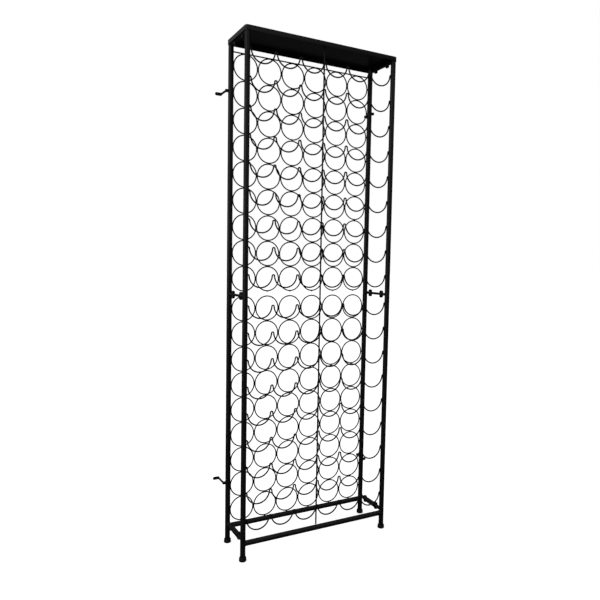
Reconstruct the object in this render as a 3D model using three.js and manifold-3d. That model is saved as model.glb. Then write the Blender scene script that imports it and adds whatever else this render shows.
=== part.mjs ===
// A tall free-standing steel wine rack: two stacked halves of round tube, a rear sheet of welded
// wire rings that hold the bottles' bases, and front wires bent into cradles for their necks.
// Millimetres, +Z up, front towards -Y. The origin is on the floor, at the centre of the whole box.
import * as THREE from "three";
import { mergeVertices } from "three/addons/utils/BufferGeometryUtils.js";
import Module from "manifold-3d";

const wasm = await Module();
wasm.setup();

// Driving dimensions

const COLUMNS = 6;
const ROWS_PER_PANEL = 3;
const PANELS_PER_HALF = 3;

const CLEARANCE = 0.3; // gap kept between two pieces that rest on or are welded to each other

const RING_DIAMETER = 100; // outside of one wire ring
const RING_WIRE = 5;
const RING_WELD = 1; // how far two rings sink into each other at their weld
const RING_STEPS = 12;

const CRADLE_WIRE = 5.5;
const CRADLE_DEPTH = 47; // from the bottom of a dip to the top of a peak, along the wire's centre
const CRADLE_PEAK_RADIUS = 4.5;
const CRADLE_CREEP = 0.3; // how much closer the cradle wires are spaced than the rows of rings
const LOWER_CRADLE_RISE = 33; // lowest cradle's bottom above the bottom of the rings behind it
const UPPER_CRADLE_RISE = 24;
const CRADLE_STEPS = 8; // straight steps in one dip

const WIRE_SIDES = 3;

const TUBE = 20; // outside diameter of posts, rails and the bottom ties
const TUBE_WALL = 1.5;
const TUBE_SIDES = 12;
const BAR_SIDES = 8; // stubs, nuts, spigots and thin rods
const POST_DEPTH = 165; // from a front post's axis to the rear post's axis behind it

const RAIL_HEIGHT = 65.5; // axis of the two bottom rails above the floor
const LOW_TIE_HEIGHT = 79; // axis of the bottom side ties above the floor
const THIN_TIE = 10; // the middle and top ties
const STUB = 14;
const STUB_LENGTH = 22;
const NUT_HUB = 15;
const NUT_LENGTH = 19;
const WING_SPAN = 30;
const WING_THICKNESS = 14;
const WING_WIDTH = 18; // across the round end of one wing
const WING_WAIST = 2; // how far the wings narrow towards the hub, on each edge
const WING_STEPS = 4;

const HALVES_GAP = 15.8; // from the lower half's top rings to the upper half's bottom rings
const COLLAR_LIP = 0.2; // how far the collar reaches past the stub above and below it
const SPIGOT_LENGTH = 40;
const SPIGOT_FIT = 0.3; // gap round the spigot inside a post's bore

const CENTRE_ROD = 6;
const TOP_WIRE = 5;

const PANEL_SHEET = 1.5;
const PANEL_RIM = 18;
const PANEL_CORNER_STEPS = 4;
const RINGS_TO_RIM = 20; // from the top rings up to the lower edge of the top panel's rim

const FOOT_WALL = 3.7; // rubber around the post
const FOOT_HEIGHT = 15;
const FOOT_SOLE = 4;
const FOOT_EDGE = 3;

const BRACKET_HUB = 12;
const BRACKET_HUB_LENGTH = 11;
const BRACKET_ROD = 8;
const BRACKET_REACH = 60; // from the post's axis back to the front of the wall tab
const TAB_LENGTH = 27;
const TAB_HEIGHT = 12;
const TAB_SHEET = 3;
const LOW_BRACKET_HEIGHT = 241;
const TOP_BRACKET_DROP = 185; // from the top of the rack down to the upper brackets

// Sizes that follow from them

// A wire with flat sides has the same section area as the round wire that it stands for.
const facetRadius = (diameter) =>
  (diameter / 2) * Math.sqrt((2 * Math.PI) / (WIRE_SIDES * Math.sin((2 * Math.PI) / WIRE_SIDES)));

const tubeRadius = TUBE / 2;
const clearRadius = tubeRadius + CLEARANCE;
const boreRadius = tubeRadius - TUBE_WALL;

const ringFacet = facetRadius(RING_WIRE);
const ringPitch = RING_DIAMETER - RING_WELD;
const ringSheetWidth = (COLUMNS - 1) * ringPitch + RING_DIAMETER;
const ringSetBack = ringFacet + TOP_WIRE / 2 + CLEARANCE; // ring plane behind the rear posts' axes
const panelHeight = (ROWS_PER_PANEL - 1) * ringPitch + RING_DIAMETER;
const halfHeight = PANELS_PER_HALF * panelHeight + (PANELS_PER_HALF - 1) * CLEARANCE;

// The rings' outermost points clear the round posts and rest on the round rail behind its axis.
const besideTube = Math.sqrt(clearRadius ** 2 - (ringSetBack - ringFacet) ** 2);
const postX = ringSheetWidth / 2 + besideTube;
const postY = POST_DEPTH / 2;

const lowerRings = RAIL_HEIGHT + besideTube;
const lowerTop = lowerRings + halfHeight;
const splitHeight = lowerTop + HALVES_GAP / 2;
const upperRings = lowerTop + HALVES_GAP;
const upperTop = upperRings + halfHeight;
const rimBottom = upperTop + RINGS_TO_RIM;
const rackHeight = rimBottom + PANEL_RIM;
const underPanel = rackHeight - PANEL_SHEET - CLEARANCE;
const topTieHeight = underPanel - WING_SPAN / 2;

const spigotRadius = boreRadius * Math.cos(Math.PI / TUBE_SIDES) - SPIGOT_FIT; // clears the bore's flats
const collarHeight = STUB + 2 * COLLAR_LIP;
const footRadius = clearRadius + FOOT_WALL;
const cradlePitch = ringPitch - CRADLE_CREEP; // from one cradle wire down to the next
const panelMargin = clearRadius + PANEL_SHEET; // from a post's axis out to the panel's outer face
const tieEnd = postY - tubeRadius - STUB_LENGTH - CLEARANCE;
const cradleSpan = 2 * (postX - clearRadius);
const rodSetBack = facetRadius(CRADLE_WIRE) + CLEARANCE + CENTRE_ROD / 2; // rod behind the cradles
const tabBack = postY + BRACKET_REACH + TAB_SHEET;
const boxCentreY = (tabBack - postY - Math.max(panelMargin, footRadius)) / 2;

// Solids

const MERGE_DISTANCE = 1e-4; // corners closer than this are one corner

function toSolid(geometry) {
  const bare = geometry.clone();
  bare.deleteAttribute("normal");
  bare.deleteAttribute("uv");
  const merged = mergeVertices(bare, MERGE_DISTANCE);
  return new wasm.Manifold(
    new wasm.Mesh({
      numProp: 3,
      vertProperties: new Float32Array(merged.attributes.position.array),
      triVerts: new Uint32Array(merged.index.array),
    }),
  );
}

function toGeometry(solid) {
  const mesh = solid.getMesh();
  const geometry = new THREE.BufferGeometry();
  geometry.setAttribute("position", new THREE.BufferAttribute(mesh.vertProperties, 3));
  geometry.setIndex(new THREE.BufferAttribute(mesh.triVerts, 1));
  geometry.computeVertexNormals();
  return geometry;
}

const join = (...geometries) =>
  toGeometry(geometries.map(toSolid).reduce((whole, next) => whole.add(next)));

const cut = (geometry, ...tools) =>
  toGeometry(tools.map(toSolid).reduce((left, tool) => left.subtract(tool), toSolid(geometry)));

const barZ = (diameter, low, high, sides = TUBE_SIDES) =>
  new THREE.CylinderGeometry(diameter / 2, diameter / 2, high - low, sides)
    .rotateX(Math.PI / 2)
    .translate(0, 0, (low + high) / 2);

const barY = (diameter, near, far, sides = TUBE_SIDES) =>
  new THREE.CylinderGeometry(diameter / 2, diameter / 2, far - near, sides).translate(0, (near + far) / 2, 0);

const barX = (diameter, left, right, sides = TUBE_SIDES) =>
  new THREE.CylinderGeometry(diameter / 2, diameter / 2, right - left, sides)
    .rotateZ(Math.PI / 2)
    .translate((left + right) / 2, 0, 0);

// A closed profile turned about the Z axis: [radius, height] pairs, up the outside and down the inside.
function turned(profile) {
  const points = [...profile, profile[0]].map(([radius, height]) => new THREE.Vector2(radius, height));
  return new THREE.LatheGeometry(points, TUBE_SIDES).rotateX(Math.PI / 2);
}

// An open length of round tube from one height to another.
const tube = (low, high) =>
  turned([
    [boreRadius, low],
    [tubeRadius, low],
    [tubeRadius, high],
    [boreRadius, high],
  ]);

// One side's tie stub on a post at the origin, pointing along +Y.
const stubAt = (height) =>
  barY(STUB, tubeRadius - TUBE_WALL / 2, tubeRadius + STUB_LENGTH, BAR_SIDES).translate(0, 0, height);

function lowerPost(direction) {
  const low = FOOT_SOLE + CLEARANCE;
  const high = splitHeight - collarHeight / 2 - CLEARANCE;
  return join(tube(low, high), stubAt(LOW_TIE_HEIGHT)).rotateZ(direction);
}

function upperPost(direction) {
  const low = splitHeight + collarHeight / 2 + CLEARANCE;
  return join(tube(low, underPanel), stubAt(topTieHeight)).rotateZ(direction);
}

// The plug that joins two post halves: a spigot into each, a collar between them and a tie stub.
function postCoupler(direction) {
  const reach = collarHeight / 2 + SPIGOT_LENGTH;
  const spigot = barZ(2 * spigotRadius, -reach, reach, BAR_SIDES);
  const collar = barZ(TUBE, -collarHeight / 2, collarHeight / 2);
  return join(spigot, collar, stubAt(0)).rotateZ(direction);
}

// A rubber cup under a post, with a rounded lower and upper edge.
const foot = () =>
  turned([
    [0, 0],
    [footRadius - FOOT_EDGE, 0],
    [footRadius, FOOT_EDGE],
    [footRadius, FOOT_HEIGHT - FOOT_EDGE / 2],
    [footRadius - FOOT_EDGE / 2, FOOT_HEIGHT],
    [clearRadius, FOOT_HEIGHT],
    [clearRadius, FOOT_SOLE],
    [0, FOOT_SOLE],
  ]);

// A bottom rail whose ends are coped round the posts.
const bottomRail = () =>
  cut(
    barX(TUBE, -postX, postX),
    barZ(2 * clearRadius, -TUBE, TUBE).translate(-postX, 0, 0),
    barZ(2 * clearRadius, -TUBE, TUBE).translate(postX, 0, 0),
  );

// A wing nut about the Y axis, its face at y = 0 and its round-ended wings up and down.
function wingNut() {
  const lobe = WING_WIDTH / 2;
  const middle = NUT_LENGTH - lobe;
  const lobeHeight = WING_SPAN / 2 - lobe;
  const outline = new THREE.Shape();
  outline.absarc(middle, -lobeHeight, lobe, Math.PI, 2 * Math.PI);
  outline.lineTo(middle + lobe - WING_WAIST, 0);
  outline.absarc(middle, lobeHeight, lobe, 0, Math.PI);
  outline.lineTo(middle - lobe + WING_WAIST, 0);
  const wings = new THREE.ExtrudeGeometry(outline, {
    depth: WING_THICKNESS,
    bevelEnabled: false,
    curveSegments: WING_STEPS,
  });
  // the outline's x runs along +Y and its y along +Z once the sheet stands up
  wings.translate(0, 0, -WING_THICKNESS / 2);
  wings.rotateX(Math.PI / 2).rotateZ(Math.PI / 2);
  return join(barY(NUT_HUB, 0, NUT_LENGTH, BAR_SIDES), wings);
}

// A side tie between the stubs of a front and a rear post, with its two wing nuts.
function sideTie(diameter) {
  const nut = wingNut();
  const frontNut = nut.clone().translate(0, -tieEnd, 0);
  const rearNut = nut.clone().rotateZ(Math.PI).translate(0, tieEnd, 0);
  const inner = tieEnd - NUT_LENGTH / 2;
  return join(barY(diameter, -inner, inner), frontNut, rearNut);
}

// The path of one cradle wire in the XZ plane: arcs that dip, with a small reversed arc at each peak.
class CradlePath extends THREE.Curve {
  constructor() {
    super();
    this.pitch = cradleSpan / COLUMNS;
    this.sweep = 2 * Math.atan((2 * CRADLE_DEPTH) / this.pitch);
    this.dipRadius = this.pitch / 2 / Math.sin(this.sweep) - CRADLE_PEAK_RADIUS;
  }

  getPoint(t) {
    const along = t * COLUMNS;
    const column = Math.min(Math.floor(along), COLUMNS - 1);
    const side = along - column < 0.5 ? -1 : 1;
    const fromDip = Math.abs(along - column - 0.5) * 2;
    const dipShare = this.dipRadius / (this.dipRadius + CRADLE_PEAK_RADIUS);
    const centre = (column + 0.5) * this.pitch - cradleSpan / 2;
    let reach;
    let rise;
    if (fromDip < dipShare) {
      const angle = (fromDip / dipShare) * this.sweep;
      reach = this.dipRadius * Math.sin(angle);
      rise = this.dipRadius * (1 - Math.cos(angle));
    } else {
      const angle = ((1 - fromDip) / (1 - dipShare)) * this.sweep;
      reach = this.pitch / 2 - CRADLE_PEAK_RADIUS * Math.sin(angle);
      rise = CRADLE_DEPTH - CRADLE_PEAK_RADIUS * (1 - Math.cos(angle));
    }
    return new THREE.Vector3(centre + side * reach, 0, rise);
  }
}

// A flat-sided wire section, one corner pointing along -Y.
function wireSection(diameter) {
  const corners = Array.from({ length: WIRE_SIDES }, (_, i) => {
    const angle = (2 * Math.PI * i) / WIRE_SIDES;
    const radius = facetRadius(diameter);
    return new THREE.Vector2(radius * Math.cos(angle), radius * Math.sin(angle));
  });
  return new THREE.Shape(corners);
}

const cradleWire = () =>
  new THREE.ExtrudeGeometry(wireSection(CRADLE_WIRE), {
    steps: COLUMNS * CRADLE_STEPS,
    extrudePath: new CradlePath(),
    bevelEnabled: false,
  });

// A sheet of rings welded to each other, its bottom at z = 0, in the XZ plane.
function ringPanel() {
  const tubeCentre = RING_DIAMETER / 2 - ringFacet;
  const rings = [];
  for (let row = 0; row < ROWS_PER_PANEL; row += 1) {
    for (let column = 0; column < COLUMNS; column += 1) {
      const x = (column - (COLUMNS - 1) / 2) * ringPitch;
      const z = RING_DIAMETER / 2 + row * ringPitch;
      const ring = new THREE.TorusGeometry(tubeCentre, ringFacet, WIRE_SIDES, RING_STEPS);
      rings.push(ring.rotateX(Math.PI / 2).translate(x, 0, z));
    }
  }
  return join(...rings);
}

// A rectangle with round corners, centred on the origin.
function roundedRectangle(halfX, halfY, radius) {
  const outline = new THREE.Shape();
  outline.absarc(halfX - radius, halfY - radius, radius, 0, Math.PI / 2);
  outline.absarc(radius - halfX, halfY - radius, radius, Math.PI / 2, Math.PI);
  outline.absarc(radius - halfX, radius - halfY, radius, Math.PI, 1.5 * Math.PI);
  outline.absarc(halfX - radius, radius - halfY, radius, 1.5 * Math.PI, 2 * Math.PI);
  return outline;
}

// The top panel: a sheet with its rim turned down over the tops of the posts.
function topPanel() {
  const slab = (margin, height) =>
    new THREE.ExtrudeGeometry(roundedRectangle(postX + margin, postY + margin, margin), {
      depth: height,
      bevelEnabled: false,
      curveSegments: PANEL_CORNER_STEPS,
    });
  const hollow = slab(clearRadius, PANEL_RIM).translate(0, 0, -PANEL_SHEET);
  return cut(slab(panelMargin, PANEL_RIM), hollow);
}

// A wall bracket on the right-hand side: a hub out of the post, a rod back and a flat tab.
function wallBracket() {
  const hubEnd = clearRadius + BRACKET_HUB_LENGTH;
  const rodX = hubEnd - BRACKET_ROD / 2;
  const tabX = rodX - BRACKET_ROD / 2;
  const hub = barX(BRACKET_HUB, clearRadius, hubEnd, BAR_SIDES);
  const rod = barY(BRACKET_ROD, 0, BRACKET_REACH + TAB_SHEET / 2, BAR_SIDES).translate(rodX, 0, 0);
  const tab = new THREE.BoxGeometry(TAB_LENGTH, TAB_SHEET, TAB_HEIGHT).translate(
    tabX + TAB_LENGTH / 2,
    BRACKET_REACH + TAB_SHEET / 2,
    0,
  );
  return join(hub, rod, tab);
}

// Assembly

const powderCoat = () => new THREE.MeshStandardMaterial({ color: 0x18181a, roughness: 0.42, metalness: 0.1 });
const rubber = () => new THREE.MeshStandardMaterial({ color: 0x101011, roughness: 0.85, metalness: 0 });

const rack = new THREE.Group();
rack.position.y = -boxCentreY;

function place(name, geometry, material, x, y, z, parent = rack) {
  const mesh = new THREE.Mesh(geometry, material);
  mesh.name = name;
  mesh.position.set(x, y, z);
  parent.add(mesh);
  return mesh;
}

const twoDigits = (number) => String(number).padStart(2, "0");

// Posts, couplers and feet: each corner's tie stub points at the other post on its side.
for (const [depthName, sideY, direction] of [
  ["front", -1, 0],
  ["rear", 1, Math.PI],
]) {
  for (const [sideName, sideX] of [
    ["left", -1],
    ["right", 1],
  ]) {
    const corner = new THREE.Group();
    corner.position.set(sideX * postX, sideY * postY, 0);
    rack.add(corner);
    const label = `${depthName}_${sideName}`;
    place(`post_${label}_lower`, lowerPost(direction), powderCoat(), 0, 0, 0, corner);
    place(`post_${label}_upper`, upperPost(direction), powderCoat(), 0, 0, 0, corner);
    place(`post_coupler_${label}`, postCoupler(direction), powderCoat(), 0, 0, splitHeight, corner);
    place(`foot_${label}`, foot(), rubber(), 0, 0, 0, corner);
  }
}

place("bottom_rail_front", bottomRail(), powderCoat(), 0, -postY, RAIL_HEIGHT);
place("bottom_rail_rear", bottomRail(), powderCoat(), 0, postY, RAIL_HEIGHT);

for (const [sideName, sideX] of [
  ["left", -1],
  ["right", 1],
]) {
  place(`side_tie_${sideName}_bottom`, sideTie(TUBE), powderCoat(), sideX * postX, 0, LOW_TIE_HEIGHT);
  place(`side_tie_${sideName}_middle`, sideTie(THIN_TIE), powderCoat(), sideX * postX, 0, splitHeight);
  place(`side_tie_${sideName}_top`, sideTie(THIN_TIE), powderCoat(), sideX * postX, 0, topTieHeight);

  for (const [levelName, height] of [
    ["lower", LOW_BRACKET_HEIGHT],
    ["upper", rackHeight - TOP_BRACKET_DROP],
  ]) {
    const name = `wall_bracket_${sideName}_${levelName}`;
    const bracket = place(name, wallBracket(), powderCoat(), sideX * postX, postY, height);
    bracket.scale.x = sideX;
  }
}

place("top_panel", topPanel(), powderCoat(), 0, 0, rimBottom);

// Rows are numbered from the top down.
const rowsPerHalf = ROWS_PER_PANEL * PANELS_PER_HALF;
for (const [firstRow, ringsBottom, cradleRise] of [
  [1, upperRings, UPPER_CRADLE_RISE],
  [1 + rowsPerHalf, lowerRings, LOWER_CRADLE_RISE],
]) {
  for (let panel = 0; panel < PANELS_PER_HALF; panel += 1) {
    const topRow = firstRow + rowsPerHalf - ROWS_PER_PANEL * (panel + 1);
    const rows = `${twoDigits(topRow)}_to_${twoDigits(topRow + ROWS_PER_PANEL - 1)}`;
    const height = ringsBottom + panel * (panelHeight + CLEARANCE);
    place(`ring_panel_rows_${rows}`, ringPanel(), powderCoat(), 0, postY + ringSetBack, height);
  }
  for (let row = 0; row < rowsPerHalf; row += 1) {
    const number = twoDigits(firstRow + rowsPerHalf - 1 - row);
    const height = ringsBottom + cradleRise + row * cradlePitch;
    place(`cradle_wire_row_${number}`, cradleWire(), powderCoat(), 0, -postY, height);
  }
}

const topWireHeight = upperTop - RING_WIRE / 2;
const topWireEnd = postX - clearRadius;
const topWire = barX(TOP_WIRE, -topWireEnd, topWireEnd, BAR_SIDES);
place("rear_top_wire", topWire, powderCoat(), 0, postY, topWireHeight);

const rodY = -postY + rodSetBack;
const rodFoot = RAIL_HEIGHT + clearRadius;
const rodJoint = CLEARANCE / 2;
const lowerRod = barZ(CENTRE_ROD, rodFoot, splitHeight - rodJoint, BAR_SIDES);
const upperRod = barZ(CENTRE_ROD, splitHeight + rodJoint, underPanel, BAR_SIDES);
place("centre_rod_lower", lowerRod, powderCoat(), 0, rodY, 0);
place("centre_rod_upper", upperRod, powderCoat(), 0, rodY, 0);

export default rack;
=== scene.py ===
import math
from itertools import product

import bpy
import numpy as np
from bpy.props import FloatProperty, FloatVectorProperty, PointerProperty
from mathutils import Matrix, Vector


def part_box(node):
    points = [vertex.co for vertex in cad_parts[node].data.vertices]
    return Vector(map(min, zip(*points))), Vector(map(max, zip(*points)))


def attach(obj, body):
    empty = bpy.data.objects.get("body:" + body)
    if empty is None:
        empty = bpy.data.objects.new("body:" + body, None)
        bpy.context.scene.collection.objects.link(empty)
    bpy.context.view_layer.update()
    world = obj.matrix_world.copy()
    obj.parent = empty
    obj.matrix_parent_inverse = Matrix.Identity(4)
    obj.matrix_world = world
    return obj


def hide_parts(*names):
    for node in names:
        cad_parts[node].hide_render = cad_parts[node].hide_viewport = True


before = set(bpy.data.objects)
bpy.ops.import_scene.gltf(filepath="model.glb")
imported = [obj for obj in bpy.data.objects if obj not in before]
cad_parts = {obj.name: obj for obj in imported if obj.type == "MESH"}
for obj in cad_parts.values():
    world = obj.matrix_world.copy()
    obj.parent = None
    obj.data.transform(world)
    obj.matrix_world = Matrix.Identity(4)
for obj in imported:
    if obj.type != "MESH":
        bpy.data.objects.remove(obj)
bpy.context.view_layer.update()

bl_info = {
    "name": "Wine rack",
    "version": (1, 0, 0),
    "blender": (4, 5, 0),
    "location": "View3D > Sidebar > Wine rack",
    "description": "Builds the finished surfaces of a tall wire wine rack around its CAD frame",
    "category": "Add Mesh",
}

MM = 0.001
FRONT, REAR = "front", "rear"
DEPTHS = ((FRONT, -1), (REAR, 1))
SIDES = (("left", -1), ("right", 1))
CORNERS = tuple((depth, back, side, right) for depth, back in DEPTHS for side, right in SIDES)
X_AXIS, Y_AXIS, Z_AXIS = np.eye(3)

COLUMNS = 6
ROWS_PER_PANEL = 3
ROWS_PER_HALF = 9
ROWS = 2 * ROWS_PER_HALF

# How many sides each round section has, and how many steps each curve takes
TUBE_SIDES = 48
TIE_SIDES = 40
FITTING_SIDES = 32
ROD_SIDES = 20
WIRE_SIDES = 16
WING_SIDES = 16
CRADLE_SIDES = 12
RING_SIDES = 10
BEAD_SIDES = 8
RING_STEPS = 56
TAB_STEPS = 48
BEAD_STEPS = 64
WING_STEPS = 25
CORNER_STEPS = 13
BEND_STEPS = 11
HEM_STEPS = 9
EDGE_STEPS = 7
DIP_STEPS, PEAK_STEPS = 31, 11

SHARP_ANGLE = math.radians(38)  # edges bent further than this stay sharp
RING_WELD = 1 * MM  # how far two rings sink into each other
POLE = 0.2 * MM  # radius at which a dome's last loop is filled flat
SINK = 0.3 * MM  # how far a welded piece reaches into the piece that it is welded to

# Places read from the frame


def low(node, axis):
    """The lowest place of a CAD node along an axis."""
    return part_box(node)[0][axis]


def high(node, axis):
    """The highest place of a CAD node along an axis."""
    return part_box(node)[1][axis]


def middle(node, axis):
    """Half of a CAD node's lowest and highest place together."""
    return (low(node, axis) + high(node, axis)) / 2


TUBE_RADIUS = (high("post_front_right_lower", 0) - low("post_front_right_lower", 0)) / 2
POST_X = middle("post_front_right_lower", 0)
FRONT_Y = low("post_front_right_lower", 1) + TUBE_RADIUS
REAR_Y = high("post_rear_right_lower", 1) - TUBE_RADIUS
MIDDLE_Y = (FRONT_Y + REAR_Y) / 2
POST_Y = {FRONT: FRONT_Y, REAR: REAR_Y}
STUB_REACH = high("post_front_right_lower", 1) - FRONT_Y
TIE_HEIGHTS = {level: middle(f"side_tie_left_{level}", 2) for level in ("bottom", "middle", "top")}
TIE_END = (high("side_tie_left_bottom", 1) - low("side_tie_left_bottom", 1)) / 2
RAIL_HEIGHT = middle("bottom_rail_front", 2)
COLLAR_LOW = high("post_front_right_lower", 2)
COLLAR_HIGH = low("post_front_right_upper", 2)
HALF_SHEET = (high("ring_panel_rows_01_to_03", 0) - low("ring_panel_rows_01_to_03", 0)) / 2
TOP_WIRE_HEIGHT = middle("rear_top_wire", 2)


def column_places(pitch):
    """Where the columns' middles lie across the rack: (column - half of the last column) * pitch."""
    return (np.arange(COLUMNS) - (COLUMNS - 1) / 2) * pitch


class TubeSizes(bpy.types.PropertyGroup):
    """Sizes of the round tubes, their stubs and their welds"""

    wall: FloatProperty(
        name="Tube wall", description="Thickness of the steel tubes", default=1.5 * MM, unit="LENGTH"
    )
    stub: FloatProperty(
        name="Stub", description="Diameter of the stubs that the side ties screw onto",
        default=14 * MM, unit="LENGTH",
    )
    chamfer: FloatProperty(
        name="Chamfer", description="Broken edge at a tube's end", default=0.5 * MM, unit="LENGTH"
    )
    bead: FloatProperty(
        name="Weld bead", description="Radius of the bead round a welded tube",
        default=1.3 * MM, unit="LENGTH",
    )
    thin_tie: FloatProperty(
        name="Thin tie", description="Diameter of the middle and top side ties",
        default=10 * MM, unit="LENGTH",
    )


class WireSizes(bpy.types.PropertyGroup):
    """Sizes of the rings, the cradle wires and the rods"""

    ring_wire: FloatProperty(
        name="Ring wire", description="Diameter of the wire of the rings", default=5 * MM, unit="LENGTH"
    )
    ring_diameter: FloatProperty(
        name="Ring", description="Outside diameter of one ring", default=100 * MM, unit="LENGTH"
    )
    cradle_wire: FloatProperty(
        name="Cradle wire", description="Diameter of the wire of the cradles",
        default=5.5 * MM, unit="LENGTH",
    )
    cradle_depth: FloatProperty(
        name="Cradle depth", description="From the bottom of a dip up to a peak",
        default=47 * MM, unit="LENGTH",
    )
    peak_radius: FloatProperty(
        name="Peak radius", description="Radius of the bend at a cradle's peak",
        default=4.5 * MM, unit="LENGTH",
    )
    centre_rod: FloatProperty(
        name="Centre rod", description="Diameter of the upright rod behind the cradles", default=6 * MM,
        unit="LENGTH",
    )
    top_wire: FloatProperty(
        name="Top wire", description="Diameter of the wire along the top rings",
        default=5 * MM, unit="LENGTH",
    )
    nugget: FloatProperty(
        name="Spot weld", description="Radius of a spot weld between two wires",
        default=2.6 * MM, unit="LENGTH",
    )


class FittingSizes(bpy.types.PropertyGroup):
    """Sizes of the wing nuts, the wall brackets and the feet"""

    nut_hub: FloatProperty(
        name="Nut hub", description="Diameter of a wing nut's hub", default=15 * MM, unit="LENGTH"
    )
    nut_length: FloatProperty(
        name="Nut length", description="Length of a wing nut along its stud",
        default=19 * MM, unit="LENGTH",
    )
    wing_span: FloatProperty(
        name="Wing span", description="From tip to tip of a wing nut", default=30 * MM, unit="LENGTH"
    )
    wing_width: FloatProperty(
        name="Wing width", description="Width of a wing near its round end",
        default=18 * MM, unit="LENGTH",
    )
    wing_thickness: FloatProperty(
        name="Wing thickness", description="Thickness of a wing near its round end",
        default=14 * MM, unit="LENGTH",
    )
    bracket_hub: FloatProperty(
        name="Bracket hub", description="Diameter of a wall bracket's hub", default=12 * MM, unit="LENGTH"
    )
    bracket_hub_length: FloatProperty(
        name="Hub length", description="How far a hub stands out of its post",
        default=11.3 * MM, unit="LENGTH",
    )
    bracket_rod: FloatProperty(
        name="Bracket rod", description="Diameter of a wall bracket's rod", default=8 * MM, unit="LENGTH"
    )
    tab_sheet: FloatProperty(
        name="Tab", description="Thickness of a wall bracket's tab", default=3 * MM, unit="LENGTH"
    )
    tab_height: FloatProperty(
        name="Tab height", description="Height of a wall bracket's tab", default=12 * MM, unit="LENGTH"
    )
    foot_edge: FloatProperty(
        name="Foot edge", description="Rounding of a foot's lower edge", default=3 * MM, unit="LENGTH"
    )


class PanelSizes(bpy.types.PropertyGroup):
    """Sizes of the sheet-metal top panel"""

    sheet: FloatProperty(
        name="Sheet", description="Thickness of the panel's sheet", default=1.5 * MM, unit="LENGTH"
    )
    fold: FloatProperty(
        name="Fold", description="Outside radius of the fold between top and rim",
        default=2.5 * MM, unit="LENGTH",
    )


class FinishColours(bpy.types.PropertyGroup):
    """Colours and finish of the coated steel and the rubber"""

    coat: FloatVectorProperty(
        name="Coat", description="Colour of the black powder coat",
        subtype="COLOR", default=(0.005, 0.005, 0.0054),
    )
    worn: FloatVectorProperty(
        name="Worn coat", description="Colour of the coat where it is rubbed", subtype="COLOR",
        default=(0.008, 0.008, 0.0085),
    )
    dust: FloatVectorProperty(
        name="Dust", description="Colour of the dust on upward faces",
        subtype="COLOR", default=(0.02, 0.0195, 0.019),
    )
    rubber: FloatVectorProperty(
        name="Rubber", description="Colour of the feet", subtype="COLOR", default=(0.006, 0.006, 0.006)
    )
    gloss: FloatProperty(
        name="Gloss", description="Specular level of the powder coat",
        default=0.25, min=0, max=1, subtype="FACTOR",
    )


class StudioSettings(bpy.types.PropertyGroup):
    """Floor and light of the studio"""

    floor: FloatVectorProperty(
        name="Floor", description="Colour of the floor", subtype="COLOR", default=(0.92, 0.92, 0.92)
    )
    floor_bounce: FloatVectorProperty(
        name="Floor bounce", description="Colour of the floor as it lights the rack", subtype="COLOR",
        default=(0.12, 0.12, 0.12),
    )
    floor_glow: FloatProperty(
        name="Floor glow", description="How much the floor is lifted towards white", default=0.72, min=0
    )
    backdrop: FloatProperty(
        name="Backdrop", description="Brightness of the backdrop as it is seen", default=1.0, min=0
    )
    fill: FloatProperty(
        name="Fill light", description="Strength of the even light from all around", default=0.1, min=0
    )
    ceiling: FloatProperty(
        name="Ceiling light", description="Strength of the even light from above", default=1.0, min=0
    )
    key: FloatProperty(
        name="Key light", description="Power of the large soft lamp", default=60.0, min=0, unit="POWER"
    )


# The camera: lens and sensor in millimetres, place in metres, turns in radians (about Z, tilt down, roll).
SENSOR_WIDTH = 36
LENS = 35.54
CAMERA_SHIFT = (-0.038, 0.004)
CAMERA_PLACE = (-1.0828, -2.0898, 1.1184)
CAMERA_TURN = (-0.5036, 0.07355, 0.01917)
FLOOR_REACH = 40.0  # from the middle of the floor to its edges, in metres

# The lamps: name, place in metres, turns in degrees, size in metres, share of the key light's power.
LAMPS = (
    ("side_light", (-3.8, -0.6, 2.0), (82, 0, -72), 2.6, 0.75),
    ("back_light", (-1.9, 3.0, 2.9), (-66, 0, 32), 1.8, 0.06),
    ("front_light", (0.6, -4.4, 2.4), (72, 0, 8), 2.0, 0.12),
)
CEILING_PLACE, CEILING_TURN = (0, 0, 4), (18, 0, -30)
CEILING_SPREAD = math.radians(120)

SETTINGS = {
    "rack_tubes": TubeSizes,
    "rack_wires": WireSizes,
    "rack_fittings": FittingSizes,
    "rack_panel": PanelSizes,
    "rack_finish": FinishColours,
    "rack_studio": StudioSettings,
}

# Surfaces


def circle(radius, sides, start=0.0):
    """Points (radius cos a, radius sin a) at equal angles a from start, once round."""
    angle = start + 2 * np.pi * np.arange(sides) / sides
    return np.stack([radius * np.cos(angle), radius * np.sin(angle)], -1)


def loop_quads(rows, columns, ring):
    """Corner numbers of the quads between neighbouring loops of a rows by columns grid."""
    row, column = np.meshgrid(np.arange(rows if ring else rows - 1), np.arange(columns), indexing="ij")
    next_row, next_column = (row + 1) % rows, (column + 1) % columns
    corners = [(row, column), (next_row, column), (next_row, next_column), (row, next_column)]
    return np.stack([r * columns + c for r, c in corners], -1).reshape(-1, 4)


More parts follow.
